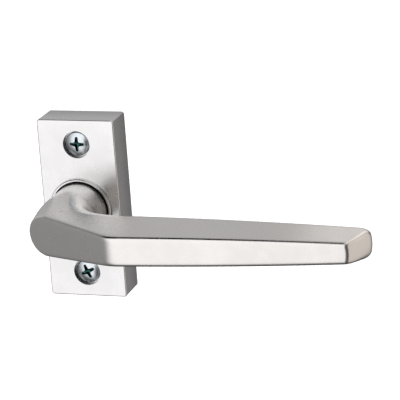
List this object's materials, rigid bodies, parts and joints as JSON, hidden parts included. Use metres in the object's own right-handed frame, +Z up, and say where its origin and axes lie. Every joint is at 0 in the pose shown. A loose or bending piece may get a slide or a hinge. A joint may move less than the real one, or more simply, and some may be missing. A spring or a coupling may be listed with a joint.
{
  "type": "lever handle set",
  "caption": "Satin aluminium lever handle with a slanted front facet, on a narrow block rose with a sprung bearing and a square spindle.",
  "frame": {"origin": "on the door face, on the axis of the spindle", "axes": "+X along the grip of the level lever, +Y into the door, +Z up"},
  "size_m": [0.1541, 0.1038, 0.08],
  "materials": {
    "rose_metal": "satin anodised",
    "lever_metal": "satin anodised, fine blasted grain",
    "bush_plastic": "black acetal",
    "plate_steel": "zinc plated",
    "screw_zinc": "bright blue zinc",
    "spring_steel": "oiled spring steel",
    "seal_rubber": "matt"
  },
  "bodies": {
    "rose": {"rose": "rose_metal", "collar": "rose_metal", "bearing_bush": "bush_plastic", "rear_bush": "bush_plastic", "back_plate": "plate_steel", "back_plate_screws": "screw_zinc", "fixing_screws": "screw_zinc", "fixing_washers": "screw_zinc", "stop_pins": "plate_steel", "stop_sleeves": "seal_rubber", "return_spring": "spring_steel", "spring_guide": "bush_plastic"},
    "lever": {"lever": "lever_metal", "thrust_washer": "plate_steel", "neck_seal": "seal_rubber", "drive_cam": "plate_steel", "disc_spring": "spring_steel", "circlip": "spring_steel", "spindle": "plate_steel", "grub_screw": "spring_steel"}
  },
  "joints": [
    {"name": "lever_turn", "type": "hinge", "parent": "rose", "child": "lever", "pos_m": [0, 0, 0], "axis": [0, 1, 0], "range_deg": [0, 45], "stiffness_Nm_per_rad": 0.6, "springref_deg": -34.38, "deforming": ["return_spring"]}
  ]
}
